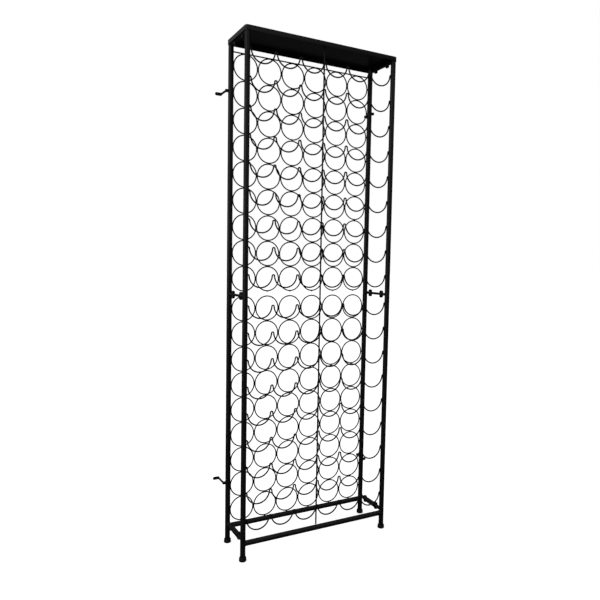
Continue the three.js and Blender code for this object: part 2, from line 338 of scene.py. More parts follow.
def shell(points, ring=False):
    """A closed surface over points[..., row, column]. Each row is a closed loop, neighbouring loops are
    joined by quads, and the end loops are joined to each other (ring) or each filled flat. Leading axes
    hold copies. The faces are turned outwards by the sign of the volume, which is the sum of
    a . (b x c) / 6 over the triangles (a, b, c)."""
    rows, columns = points.shape[-3:-1]
    copies = points.reshape(-1, rows * columns, 3)
    quads = loop_quads(rows, columns, ring)
    caps = np.zeros((0, columns), int)
    if not ring:
        caps = np.stack([np.arange(columns), (rows - 1) * columns + np.arange(columns)[::-1]])
    fans = [np.stack([np.full(columns - 2, cap[0]), cap[1:-1], cap[2:]], -1) for cap in caps]
    triangles = np.concatenate([quads[:, [0, 1, 2]], quads[:, [0, 2, 3]], *fans])
    a, b, c = (copies[0] - copies[0].mean(0))[triangles].transpose(1, 0, 2)
    if np.einsum("ij,ij->", a, np.cross(b, c)) < 0:
        quads, caps = quads[:, ::-1], caps[:, ::-1]
    offsets = (np.arange(len(copies)) * rows * columns)[:, None, None]
    faces = [(quads + offsets).reshape(-1, 4), (caps + offsets).reshape(-1, columns)]
    return copies.reshape(-1, 3), faces


def turned(profile, centre, axis, sides, ring=False):
    """A profile of (radius, height) rows turned about an axis through centre: centre + height * axis
    + radius * (cos a * across + sin a * beyond)."""
    profile = np.asarray(profile, float)
    across = np.roll(axis, 1)
    beyond = np.cross(axis, across)
    around = circle(1, sides) @ np.stack([across, beyond])
    points = profile[:, None, 1:] * axis + profile[:, None, :1] * around
    return shell(points + np.asarray(centre, float), ring)


def swept(path, radius, across, sides, closed=False, start=0.0):
    """A round wire along a path that lies in one plane, whose normal is across: path + radius
    * (cos a * (across x tangent) + sin a * across). The radius may change along the path."""
    if closed:
        tangent = np.roll(path, -1, -2) - np.roll(path, 1, -2)
    else:
        tangent = np.gradient(path, axis=-2)
    tangent = tangent / np.linalg.norm(tangent, axis=-1, keepdims=True)
    inward = np.cross(across, tangent)
    section = circle(1, sides, start)
    ring = section[:, :1] * inward[..., None, :] + section[:, 1:] * across
    return shell(path[..., None, :] + np.asarray(radius)[..., None, None] * ring, closed)


def nuggets(centres, radii, phase=0.0):
    """Spot welds: ellipsoids centre + radii * (cos v cos u, cos v sin u, sin v) for u once round and v
    from pole to pole, each swollen by one part in twelve times sin(2 u + its own phase)."""
    centres = np.atleast_2d(centres)
    around = 2 * np.pi * np.arange(BEAD_SIDES) / BEAD_SIDES
    rise = np.linspace(-0.47, 0.47, 5) * np.pi
    own_phase = 1.9 * np.arange(len(centres))[:, None] + phase
    swell = 1 + np.sin(2 * around + own_phase)[:, None] / 12
    wide = np.cos(rise)[:, None] * np.cos(around) * swell
    deep = np.cos(rise)[:, None] * np.sin(around) * swell
    tall = np.broadcast_to(np.sin(rise)[:, None], wide.shape)
    unit = np.stack([wide, deep, tall], -1)
    return shell(centres[:, None, None] + np.asarray(radii) * unit)


def saddle_bead(centre, axis, radius, post_radius, bead):
    """A weld bead where a bar of one radius meets a round post: a small tube along the curve reach
    = sqrt(post radius^2 - s^2), where s is how far the bar's surface lies beside the post's axis. Its
    radius is bead * (1 + 0.1 sin(16 a)), with sixteen ripples once round."""
    angle = 2 * np.pi * np.arange(BEAD_STEPS) / BEAD_STEPS
    side = np.cross(axis, Z_AXIS)
    outward = np.cos(angle)[:, None] * side + np.sin(angle)[:, None] * Z_AXIS
    reach = np.sqrt(np.maximum(post_radius**2 - (radius * np.cos(angle)) ** 2, (0.05 * post_radius) ** 2))
    curve = np.asarray(centre, float) + reach[:, None] * axis + radius * outward
    thickness = bead * (1 + 0.1 * np.sin(16 * angle))
    section = circle(1, BEAD_SIDES)
    loops = section[:, :1] * outward[:, None] + section[:, 1:] * axis
    return shell(curve[:, None] + thickness[:, None, None] * loops, True)


def round_bar(start, end, radius):
    """A straight bar between two points along one axis: a rectangle turned about it, its end corners
    broken by a small chamfer."""
    edge = 0.4 * MM
    start, end = np.asarray(start, float), np.asarray(end, float)
    length = np.linalg.norm(end - start)
    profile = [
        (radius - edge, 0),
        (radius, edge),
        (radius, length - edge),
        (radius - edge, length),
    ]
    return turned(profile, start, (end - start) / length, WIRE_SIDES)


# Finishes

# Ranges of the coat's texture: each pair is the value at which an effect starts and where it is full.
CLOUD_SPREAD = (0.3, 0.7)  # cloud values between the lowest and the highest roughness
RUBBED_SPREAD = (0.52, 0.75)  # cloud values between whole and rubbed coat
UPWARD_SPREAD = (0.45, 1.0)  # the normal's Z between no dust and full dust
GRIT_FINENESS = 4.3  # how many times finer the grit is than the peel
GRIT_HEIGHT = 0.25  # the grit's share of the relief

# The coats: peel and cloud scales, then the lowest and the highest roughness.
COATS = {
    "post_coat": ((900, 14), (0.36, 0.46)),
    "panel_coat": ((700, 9), (0.34, 0.44)),
    "wire_coat": ((1300, 22), (0.38, 0.5)),
    "fitting_coat": ((1100, 30), (0.4, 0.52)),
    "foot_rubber": ((700, 60), (0.62, 0.8)),
}
COAT_DUST, RUBBER_DUST = 0.3, 0.25
COAT_RELIEF, RUBBER_RELIEF = 0.12 * MM, 0.2 * MM
RELIEF_STRENGTH = 0.35
RUBBER_GLOSS = 0.3


def link(tree, pairs):
    """Joins each output socket to its input socket."""
    for output, target in pairs:
        tree.links.new(output, target)


def texture_group(name):
    """A coat's surface from three noises on Object coordinates: fine peel and finer grit for its height,
    broad clouds for its roughness and rubbed patches, and dust where the normal points up, broken by the
    clouds."""
    group = bpy.data.node_groups.new(name, "ShaderNodeTree")
    sockets = group.interface
    for label, kind in (
        ("Colour", "NodeSocketColor"),
        ("Rubbed", "NodeSocketColor"),
        ("Dust", "NodeSocketColor"),
        ("Peel scale", "NodeSocketFloat"),
        ("Cloud scale", "NodeSocketFloat"),
        ("Roughness low", "NodeSocketFloat"),
        ("Roughness high", "NodeSocketFloat"),
        ("Dust amount", "NodeSocketFloat"),
    ):
        sockets.new_socket(label, in_out="INPUT", socket_type=kind)
    for label, kind in (
        ("Colour", "NodeSocketColor"),
        ("Roughness", "NodeSocketFloat"),
        ("Height", "NodeSocketFloat"),
    ):
        sockets.new_socket(label, in_out="OUTPUT", socket_type=kind)
    node = group.nodes.new
    given, result = node("NodeGroupInput").outputs, node("NodeGroupOutput").inputs
    place = node("ShaderNodeTexCoord").outputs["Object"]
    peel, clouds, grit = (node("ShaderNodeTexNoise") for _ in range(3))
    peel.inputs["Detail"].default_value = 2
    clouds.inputs["Detail"].default_value = 4
    grit.inputs["Detail"].default_value = 1
    finer = node("ShaderNodeMath")
    finer.operation = "MULTIPLY"
    finer.inputs[1].default_value = GRIT_FINENESS
    facing = node("ShaderNodeSeparateXYZ")
    spread, rubbed, upward = (node("ShaderNodeMapRange") for _ in range(3))
    for ramp, span in ((spread, CLOUD_SPREAD), (rubbed, RUBBED_SPREAD), (upward, UPWARD_SPREAD)):
        ramp.inputs["From Min"].default_value, ramp.inputs["From Max"].default_value = span
    settled, dusty = node("ShaderNodeMath"), node("ShaderNodeMath")
    settled.operation = dusty.operation = "MULTIPLY"
    patches, powdered = node("ShaderNodeMix"), node("ShaderNodeMix")
    patches.data_type = powdered.data_type = "RGBA"
    height = node("ShaderNodeMath")
    height.operation = "MULTIPLY_ADD"
    height.inputs[1].default_value = GRIT_HEIGHT
    link(group, [
        (place, peel.inputs["Vector"]),
        (place, clouds.inputs["Vector"]),
        (place, grit.inputs["Vector"]),
        (given["Peel scale"], peel.inputs["Scale"]),
        (given["Cloud scale"], clouds.inputs["Scale"]),
        (given["Peel scale"], finer.inputs[0]),
        (finer.outputs[0], grit.inputs["Scale"]),
        (clouds.outputs["Fac"], spread.inputs["Value"]),
        (given["Roughness low"], spread.inputs["To Min"]),
        (given["Roughness high"], spread.inputs["To Max"]),
        (spread.outputs["Result"], result["Roughness"]),
        (grit.outputs["Fac"], height.inputs[0]),
        (peel.outputs["Fac"], height.inputs[2]),
        (height.outputs[0], result["Height"]),
        (clouds.outputs["Fac"], rubbed.inputs["Value"]),
        (rubbed.outputs["Result"], patches.inputs["Factor"]),
        (given["Colour"], patches.inputs["A"]),
        (given["Rubbed"], patches.inputs["B"]),
        (node("ShaderNodeNewGeometry").outputs["Normal"], facing.inputs[0]),
        (facing.outputs["Z"], upward.inputs["Value"]),
        (upward.outputs["Result"], settled.inputs[0]),
        (clouds.outputs["Fac"], settled.inputs[1]),
        (settled.outputs[0], dusty.inputs[0]),
        (given["Dust amount"], dusty.inputs[1]),
        (dusty.outputs[0], powdered.inputs["Factor"]),
        (patches.outputs["Result"], powdered.inputs["A"]),
        (given["Dust"], powdered.inputs["B"]),
        (powdered.outputs["Result"], result["Colour"]),
    ])
    return group


def coated(slot, colour, rubbed, dust, dust_amount, relief, gloss):
    """A slot's finish, whose colour, roughness and relief come from the texture group."""
    name = f"finish_{slot}"
    if name in bpy.data.materials:
        return bpy.data.materials[name]
    group = bpy.data.node_groups.get("coat_texture") or texture_group("coat_texture")
    material = bpy.data.materials.new(name)
    material.use_nodes = True
    tree = material.node_tree
    shader = tree.nodes["Principled BSDF"]
    shader.inputs["Specular IOR Level"].default_value = gloss
    texture = tree.nodes.new("ShaderNodeGroup")
    texture.node_tree = group
    scales, roughness = COATS[slot]
    values = {
        "Colour": (*colour, 1),
        "Rubbed": (*rubbed, 1),
        "Dust": (*dust, 1),
        "Peel scale": scales[0],
        "Cloud scale": scales[1],
        "Roughness low": roughness[0],
        "Roughness high": roughness[1],
        "Dust amount": dust_amount,
    }
    for label, value in values.items():
        texture.inputs[label].default_value = value
    bump = tree.nodes.new("ShaderNodeBump")
    bump.inputs["Strength"].default_value = RELIEF_STRENGTH
    bump.inputs["Distance"].default_value = relief
    link(tree, [
        (texture.outputs["Colour"], shader.inputs["Base Color"]),
        (texture.outputs["Roughness"], shader.inputs["Roughness"]),
        (texture.outputs["Height"], bump.inputs["Height"]),
        (bump.outputs["Normal"], shader.inputs["Normal"]),
    ])
    return material


def finish_of(slot):
    """The material of one of the record's slots."""
    colours = bpy.context.scene.rack_finish
    coat, worn, dust = tuple(colours.coat), tuple(colours.worn), tuple(colours.dust)
    if slot == "foot_rubber":
        rubber = tuple(colours.rubber)
        return coated(slot, rubber, rubber, dust, RUBBER_DUST, RUBBER_RELIEF, RUBBER_GLOSS)
    return coated(slot, coat, worn, dust, COAT_DUST, COAT_RELIEF, colours.gloss)


# Pieces


def piece(name, patches, slot, nodes=()):
    """Puts closed surfaces into one smooth mesh that rides on the frame and stands for CAD nodes."""
    points, faces, offset = [], [], 0
    for patch_points, patch_faces in patches:
        points.append(patch_points)
        for group in patch_faces:
            faces += (group + offset).tolist()
        offset += len(patch_points)
    mesh = bpy.data.meshes.new(name)
    mesh.from_pydata(np.concatenate(points), [], faces)
    mesh.polygons.foreach_set("use_smooth", np.ones(len(mesh.polygons), bool))
    mesh.set_sharp_from_angle(angle=SHARP_ANGLE)
    mesh.materials.append(finish_of(slot))
    if mesh.validate():
        raise RuntimeError(f"{name} holds faces that are not sound")
    made = bpy.data.objects.new(name, mesh)
    bpy.context.scene.collection.objects.link(made)
    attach(made, "root")
    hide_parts(*nodes)
    return made


def stub_patches(corner, towards, radius, chamfer, bead):
    """A stub out of a post at corner, along +Y or -Y: a profile turned about that axis, with a shallow
    screw hole in its end, and the bead round its foot."""
    axis = towards * Y_AXIS
    hole, bottom = 0.45 * radius, STUB_REACH - 2 * chamfer
    profile = [
        (radius, TUBE_RADIUS * 0.9),
        (radius, STUB_REACH - chamfer),
        (radius - chamfer, STUB_REACH),
        (hole, STUB_REACH),
        (hole, bottom),
        (POLE, bottom),
    ]
    stub = turned(profile, corner, axis, FITTING_SIDES)
    return [stub, saddle_bead(corner, axis, radius, TUBE_RADIUS, bead)]


class RACK_OT_posts(bpy.types.Operator):
    """Eight lengths of round tube, each with a welded stub for a side tie"""

    bl_idname = "rack.posts"
    bl_label = "Posts"
    bl_options = {"REGISTER", "UNDO"}

    def execute(self, context):
        scene = context.scene
        sizes = scene.rack_tubes
        bore = TUBE_RADIUS - sizes.wall
        for depth, back, side, right in CORNERS:
            for half, level in (("lower", "bottom"), ("upper", "top")):
                node = f"post_{depth}_{side}_{half}"
                bottom, top = low(node, 2), high(node, 2)
                profile = [
                    (bore, bottom),
                    (TUBE_RADIUS - sizes.chamfer, bottom),
                    (TUBE_RADIUS, bottom + sizes.chamfer),
                    (TUBE_RADIUS, top - sizes.chamfer),
                    (TUBE_RADIUS - sizes.chamfer, top),
                    (bore, top),
                ]
                foot = np.array([right * POST_X, POST_Y[depth], 0])
                corner = foot + TIE_HEIGHTS[level] * Z_AXIS
                stub = stub_patches(corner, -back, sizes.stub / 2, sizes.chamfer, sizes.bead)
                tube = turned(profile, foot, Z_AXIS, TUBE_SIDES, True)
                piece(f"tube_{depth}_{side}_{half}", [tube, *stub], "post_coat", [node])
        return {"FINISHED"}


class RACK_OT_couplers(bpy.types.Operator):
    """Four collars with spigots that join the post halves and carry the middle ties"""

    bl_idname = "rack.couplers"
    bl_label = "Couplers"
    bl_options = {"REGISTER", "UNDO"}

    def execute(self, context):
        scene = context.scene
        sizes = scene.rack_tubes
        spigot = TUBE_RADIUS - sizes.wall - SINK
        seam = 0.15 * MM  # the open line between a collar and each post half
        bead = 0.8 * sizes.bead  # smaller than a post's, so that it stays on the collar
        for depth, back, side, right in CORNERS:
            node = f"post_coupler_{depth}_{side}"
            profile = [
                (spigot - sizes.chamfer, low(node, 2)),
                (spigot, low(node, 2) + sizes.chamfer),
                (spigot, COLLAR_LOW + seam),
                (TUBE_RADIUS - sizes.chamfer, COLLAR_LOW + seam),
                (TUBE_RADIUS, COLLAR_LOW + seam + sizes.chamfer),
                (TUBE_RADIUS, COLLAR_HIGH - seam - sizes.chamfer),
                (TUBE_RADIUS - sizes.chamfer, COLLAR_HIGH - seam),
                (spigot, COLLAR_HIGH - seam),
                (spigot, high(node, 2) - sizes.chamfer),
                (spigot - sizes.chamfer, high(node, 2)),
            ]
            foot = np.array([right * POST_X, POST_Y[depth], 0])
            corner = foot + TIE_HEIGHTS["middle"] * Z_AXIS
            stub = stub_patches(corner, -back, sizes.stub / 2 - bead, sizes.chamfer, bead)
            collar = turned(profile, foot, Z_AXIS, TUBE_SIDES)
            piece(f"collar_{depth}_{side}", [collar, *stub], "post_coat", [node])
        return {"FINISHED"}


class RACK_OT_feet(bpy.types.Operator):
    """Four rubber cups under the posts"""

    bl_idname = "rack.feet"
    bl_label = "Feet"
    bl_options = {"REGISTER", "UNDO"}

    def execute(self, context):
        scene = context.scene
        edge = scene.rack_fittings.foot_edge
        for depth, _, side, right in CORNERS:
            node = f"foot_{depth}_{side}"
            radius = (high(node, 0) - low(node, 0)) / 2
            bottom, top = low(node, 2), high(node, 2)
            sole = low(f"post_{depth}_{side}_lower", 2)
            quarter = np.linspace(0, np.pi / 2, EDGE_STEPS)
            lower = np.stack([
                radius - edge + edge * np.sin(quarter),
                bottom + edge - edge * np.cos(quarter),
            ], -1)
            lip = edge / 2
            crown = np.stack([
                radius - 1.4 * lip + lip * np.cos(quarter),
                top - lip + lip * np.sin(quarter),
            ], -1)
            hollow, hollow_depth = 0.6 * radius, 0.2 * edge
            mouth = TUBE_RADIUS + 0.5 * SINK
            profile = [
                (POLE, bottom + hollow_depth),
                (hollow, bottom + hollow_depth),
                (hollow + hollow_depth, bottom),
                *lower.tolist(),
                (radius, bottom + 1.6 * edge),
                (radius - 0.4 * lip, bottom + 2.2 * edge),
                *crown.tolist(),
                (mouth, top - 0.3 * lip),
                (mouth, sole - SINK),
                (POLE, sole - SINK),
            ]
            cup = turned(profile, (right * POST_X, POST_Y[depth], 0), Z_AXIS, TUBE_SIDES)
            piece(f"rubber_cup_{depth}_{side}", [cup], "foot_rubber", [node])
        return {"FINISHED"}


def coped_bar(centre):
    """A rail along X whose ends follow the round posts: at a distance y in front of or behind its axis it
    reaches out to the posts' distance - sqrt(tube radius^2 - y^2)."""
    section = circle(TUBE_RADIUS, TUBE_SIDES)
    gap = np.sqrt(np.maximum(TUBE_RADIUS**2 - section[:, 0] ** 2, 0))
    reach = POST_X - gap - 2 * SINK
    along = np.array([-1.0, -0.98, 0.98, 1.0])
    loops = along[:, None, None] * reach[:, None] * X_AXIS
    return shell(centre + loops + section[:, :1] * Y_AXIS + section[:, 1:] * Z_AXIS)


class RACK_OT_rails(bpy.types.Operator):
    """Two bottom rails, coped to the posts and welded all round"""

    bl_idname = "rack.rails"
    bl_label = "Bottom rails"
    bl_options = {"REGISTER", "UNDO"}

    def execute(self, context):
        scene = context.scene
        bead = scene.rack_tubes.bead
        for depth, _ in DEPTHS:
            centre = np.array([0, POST_Y[depth], RAIL_HEIGHT])
            patches = [coped_bar(centre)]
            for _, right in SIDES:
                corner = centre + right * POST_X * X_AXIS
                patches.append(saddle_bead(corner, -right * X_AXIS, 0.97 * TUBE_RADIUS, TUBE_RADIUS, bead))
            piece(f"rail_{depth}", patches, "post_coat", [f"bottom_rail_{depth}"])
        return {"FINISHED"}


class RACK_OT_side_ties(bpy.types.Operator):
    """Six bars between the front and rear posts"""

    bl_idname = "rack.side_ties"
    bl_label = "Side ties"
    bl_options = {"REGISTER", "UNDO"}

    def execute(self, context):
        scene = context.scene
        sizes = scene.rack_tubes
        end = TIE_END - 0.55 * scene.rack_fittings.nut_length  # each bar ends inside its nuts
        end_depth = 1.2 * MM
        for (side, right), (level, height) in product(SIDES, TIE_HEIGHTS.items()):
            thin = level != "bottom"
            radius = sizes.thin_tie / 2 if thin else TUBE_RADIUS
            hollow = radius - (0.4 * radius if thin else sizes.wall)
            half = [
                (POLE, end - end_depth),
                (hollow, end - end_depth),
                (hollow, end),
                (radius - sizes.chamfer, end),
                (radius, end - sizes.chamfer),
            ]
            profile = [(r, -y) for r, y in half] + half[::-1]
            bar = turned(profile, (right * POST_X, MIDDLE_Y, height), Y_AXIS, TIE_SIDES)
            piece(f"tie_bar_{side}_{level}", [bar], "post_coat", [f"side_tie_{side}_{level}"])
        return {"FINISHED"}


def wings(face, inward, sizes):
    """Both wings of a nut as one upright bar. At the share s of its half span its section is a rounded
    square with the half width w (0.8 + 0.2 s^2) and the half thickness t (0.9 + 0.1 s^2), both times
    sqrt(1 - 0.985 s^6), which rounds its ends. Its tips lie a little nearer the nut's inner end than its
    middle does."""
    share = np.sin(np.linspace(-0.5, 0.5, WING_STEPS) * np.pi)
    rounding = np.sqrt(1 - 0.985 * share**6)
    width = sizes.wing_width / 2 * (0.8 + 0.2 * share**2) * rounding
    thick = sizes.wing_thickness / 2 * (0.9 + 0.1 * share**2) * rounding
    lean = sizes.nut_length - sizes.wing_width / 2 * (1.08 - 0.08 * share**2)
    section = circle(1, WING_SIDES)
    square = np.sign(section) * np.abs(section) ** 0.6
    spine = lean[:, None] * inward + sizes.wing_span / 2 * share[:, None] * Z_AXIS
    wide = (width[:, None] * square[:, 0])[..., None] * inward
    deep = (thick[:, None] * square[:, 1])[..., None] * X_AXIS
    return shell(face + spine[:, None] + (wide + deep))


class RACK_OT_wing_nuts(bpy.types.Operator):
    """Twelve wing nuts that hold the side ties to the stubs"""

    bl_idname = "rack.wing_nuts"
    bl_label = "Wing nuts"
    bl_options = {"REGISTER", "UNDO"}

    def execute(self, context):
        scene = context.scene
        sizes = scene.rack_fittings
        hub, length = sizes.nut_hub / 2, sizes.nut_length
        screw = 0.4 * hub  # it reaches on beyond the nut, into the tie
        profile = [
            (POLE, 0),
            (0.82 * hub, 0),
            (hub, 0.1 * length),
            (hub, 0.42 * length),
            (0.8 * hub, 0.8 * length),
            (0.74 * hub, length),
            (screw, length),
            (screw, 1.25 * length),
            (POLE, 1.3 * length),
        ]
        for (depth, back, side, right), (level, height) in product(CORNERS, TIE_HEIGHTS.items()):
            inward = -back * Y_AXIS
            face = np.array([right * POST_X, MIDDLE_Y + back * (TIE_END + SINK), height])
            body = turned(profile, face, inward, FITTING_SIDES)
            piece(f"wing_nut_{depth}_{side}_{level}", [body, wings(face, inward, sizes)], "post_coat")
        return {"FINISHED"}


def bracket_rod(corner, out, rod_x, back, sizes):
    """A rod that runs straight back, then turns outwards into the tab through a quarter circle. It thins
    as it nears the tab's back, so that it ends inside the tab's sheet."""
    rod, sheet = sizes.bracket_rod / 2, sizes.tab_sheet
    neck = back - 2.2 * sheet
    bend = 1.6 * sheet
    straight = rod_x * out + np.linspace(-0.3 * sizes.bracket_hub, neck, 6)[:, None] * Y_AXIS
    quarter = np.linspace(0, np.pi / 2, BEND_STEPS)[1:, None]
    curve = (rod_x + bend * (1 - np.cos(quarter))) * out + (neck + bend * np.sin(quarter)) * Y_AXIS
    path = corner + np.concatenate([straight, curve])
    radius = np.minimum(rod, REAR_Y + back - path[:, 1])
    radius[0] = 0.8 * rod
    return swept(path, radius, Z_AXIS, ROD_SIDES)


def bracket_tab(corner, out, start, end, back, sizes):
    """A flat tab from start to end, its outline a half circle at the outer end and, at the rod's end, the
    rounded rectangle |x / a|^6 + |z / b|^6 = 1. Both faces have a small bevel round them."""
    sheet, half_height = sizes.tab_sheet, sizes.tab_height / 2
    centre_x = end - half_height
    angle = 2 * np.pi * np.arange(TAB_STEPS) / TAB_STEPS
    cos, sin = np.cos(angle), np.sin(angle)
    nose = half_height * np.stack([cos, sin], -1)
    box = np.abs(cos) ** 6 + np.abs(sin) ** 6
    stretch = np.stack([(centre_x - start) * cos, half_height * sin], -1) / box[:, None] ** (1 / 6)
    outline = np.where(cos[:, None] > 0, nose, stretch)
    bevel, face = 0.5 * MM, 0.96 * outline
    loops = [
        (face, 0),
        (outline, bevel),
        (outline, sheet - bevel),
        (face, sheet),
    ]
    rows = [
        (centre_x + flat[:, :1]) * out + flat[:, 1:] * Z_AXIS + (back - sheet + depth) * Y_AXIS
        for flat, depth in loops
    ]
    return shell(corner + np.stack(rows))


class RACK_OT_wall_brackets(bpy.types.Operator):
    """Four wall brackets: a hub on the post, a rod back from it and a flat tab"""

    bl_idname = "rack.wall_brackets"
    bl_label = "Wall brackets"
    bl_options = {"REGISTER", "UNDO"}

    def execute(self, context):
        scene = context.scene
        sizes = scene.rack_fittings
        hub, rod = sizes.bracket_hub / 2, sizes.bracket_rod / 2
        edge, dimple = 0.4 * MM, 0.6 * MM
        for (side, right), level in product(SIDES, ("lower", "upper")):
            node = f"wall_bracket_{side}_{level}"
            height = middle(node, 2)
            outer = max(abs(low(node, 0)), abs(high(node, 0))) - POST_X
            back = high(node, 1) - REAR_Y
            hub_end = TUBE_RADIUS + sizes.bracket_hub_length
            rod_x = hub_end - rod
            out = right * X_AXIS
            corner = np.array([right * POST_X, REAR_Y, height])
            profile = [
                (hub - 2 * edge, 0.9 * TUBE_RADIUS),
                (hub, TUBE_RADIUS + edge),
                (hub, hub_end - 3 * edge),
                (hub - edge, hub_end - edge),
                (hub - 3 * edge, hub_end),
                (0.45 * hub, hub_end),
                (0.38 * hub, hub_end - dimple),
                (POLE, hub_end - dimple),
            ]
            bar = bracket_rod(corner, out, rod_x, back, sizes)
            tab = bracket_tab(corner, out, rod_x - rod, outer, back, sizes)
            collar = saddle_bead(corner, out, hub, TUBE_RADIUS, 2 * edge)
            body = turned(profile, corner, out, FITTING_SIDES)
            piece(f"bracket_{side}_{level}", [body, bar, tab, collar], "fitting_coat", [node])
        return {"FINISHED"}


def folded_tray(half_x, half_y, bottom, top, corner, sizes):
    """A sheet with its rim folded down. Its section is (inset, height): in from the middle of the top over
    the fold's quarter circle, round the rim's lower edge by a half circle, and back along the inside.
    Each section point then follows a rectangle whose corners are quarter circles about the same centres,
    with the radius corner - inset. A hair is added to that radius, so that no corner closes to a point."""
    sheet, fold = sizes.sheet, sizes.fold
    quarter = np.linspace(0, np.pi / 2, EDGE_STEPS)
    over = np.stack([fold - fold * np.sin(quarter), top - fold + fold * np.cos(quarter)], -1)
    inner = fold - sheet
    under = np.stack([fold - inner * np.sin(quarter), top - fold + inner * np.cos(quarter)], -1)
    hem = np.linspace(0, np.pi, HEM_STEPS)
    round_edge = sheet / 2
    lip = np.stack([
        round_edge - round_edge * np.cos(hem),
        bottom + round_edge - round_edge * np.sin(hem),
    ], -1)
    profile = np.concatenate([[(corner, top)], over, lip, under[::-1], [(corner, top - sheet)]])
    arc = np.linspace(0, np.pi / 2, CORNER_STEPS)
    turns = np.concatenate([arc + k * np.pi / 2 for k in range(4)])
    signs = np.repeat([(1, 1), (-1, 1), (-1, -1), (1, -1)], CORNER_STEPS, axis=0)
    centres = signs * (half_x - corner, half_y - corner)
    inset, height = profile[:, :1], profile[:, 1:]
    hair = 0.1 * POLE
    radius = corner - inset + hair
    x = centres[:, 0] + radius * np.cos(turns)
    y = MIDDLE_Y + centres[:, 1] + radius * np.sin(turns)
    return shell(np.stack([x, y, np.broadcast_to(height, x.shape)], -1))


class RACK_OT_top_panel(bpy.types.Operator):
    """The sheet-metal tray that slips over the tops of the posts"""

    bl_idname = "rack.top_panel"
    bl_label = "Top panel"
    bl_options = {"REGISTER", "UNDO"}

    def execute(self, context):
        scene = context.scene
        sizes = scene.rack_panel
        half_x = high("top_panel", 0)
        half_y = (high("top_panel", 1) - low("top_panel", 1)) / 2
        bottom, top = low("top_panel", 2), high("top_panel", 2)
        tray = folded_tray(half_x, half_y, bottom, top, half_x - POST_X, sizes)
        piece("top_tray", [tray], "panel_coat", ["top_panel"])
        return {"FINISHED"}


class RACK_OT_ring_panels(bpy.types.Operator):
    """Six sheets of wire rings, spot-welded to each other, to the posts and to what they stand on"""

    bl_idname = "rack.ring_panels"
    bl_label = "Ring panels"
    bl_options = {"REGISTER", "UNDO"}

    def execute(self, context):
        scene = context.scene
        sizes = scene.rack_wires
        wire, outer = sizes.ring_wire / 2, sizes.ring_diameter / 2
        plane = REAR_Y + sizes.top_wire / 2 + wire - SINK
        turn = 2 * np.pi * np.arange(RING_STEPS) / RING_STEPS
        circle_path = (outer - wire) * (np.cos(turn)[:, None] * X_AXIS + np.sin(turn)[:, None] * Z_AXIS)
        pitch = (2 * HALF_SHEET - 2 * outer) / (COLUMNS - 1)
        columns = column_places(pitch)
        touching = TUBE_RADIUS - np.sqrt(TUBE_RADIUS**2 - (plane - REAR_Y) ** 2)
        spot = sizes.nugget
        for first in range(1, ROWS, ROWS_PER_PANEL):
            last = first + ROWS_PER_PANEL - 1
            node = f"ring_panel_rows_{first:02d}_to_{last:02d}"
            rows = low(node, 2) + outer + np.arange(ROWS_PER_PANEL) * pitch
            x, z = np.meshgrid(columns, rows)
            centres = np.stack([x, np.full_like(x, plane), z], -1).reshape(-1, 3)
            rings = swept(centres[:, None] + circle_path, wire, Y_AXIS, RING_SIDES, True)
            between = (x[:, 1:] + x[:, :-1]) / 2
            beside = np.stack([between, np.full_like(between, plane), z[:, 1:]], -1).reshape(-1, 3)
            below = centres - outer * Z_AXIS
            edge = columns[-1] + outer + touching / 2
            ends = np.array([(s * edge, plane - wire / 2, h) for s in (-1, 1) for h in rows])
            patches = [
                rings,
                nuggets(beside, (0.8 * spot, 0.92 * spot, 1.5 * spot), first),
                nuggets(below, (1.5 * spot, 0.92 * spot, 0.8 * spot), first + 1),
                nuggets(ends, (0.8 * spot, 0.9 * spot, 1.6 * spot), first + 2),
            ]
            piece(f"ring_sheet_rows_{first:02d}_to_{last:02d}", patches, "wire_coat", [node])
        return {"FINISHED"}


def cradle_path(pitch, depth, peak_radius, end):
    """The line of one cradle wire as (x, z): in each column an arc of the dip radius through the angles
    -sweep to sweep, then an arc of the peak radius back from sweep to -sweep. The sweep is twice the
    arctangent of 2 depth / pitch, and the dip radius is half the pitch / sin(sweep) - peak radius. The
    outermost peaks keep only their first few points, and straight ends run on from them to the posts."""
    sweep = 2 * math.atan(2 * depth / pitch)
    dip_radius = pitch / 2 / math.sin(sweep) - peak_radius
    dip = np.linspace(-sweep, sweep, DIP_STEPS)
    peak = np.linspace(sweep, -sweep, PEAK_STEPS)[1:-1]
    x = np.concatenate([dip_radius * np.sin(dip), pitch / 2 - peak_radius * np.sin(peak)])
    z = np.concatenate([dip_radius * (1 - np.cos(dip)), depth - peak_radius * (1 - np.cos(peak))])
    kept = 4
    x = (column_places(pitch)[:, None] + x).ravel()[: kept - len(peak)]
    z = np.tile(z, COLUMNS)[: kept - len(peak)]
    x = np.concatenate([[-end], -x[-kept:][::-1], x, [end]])
    z = np.concatenate([[depth], z[-kept:][::-1], z, [depth]])
    return np.stack([x, z], -1)


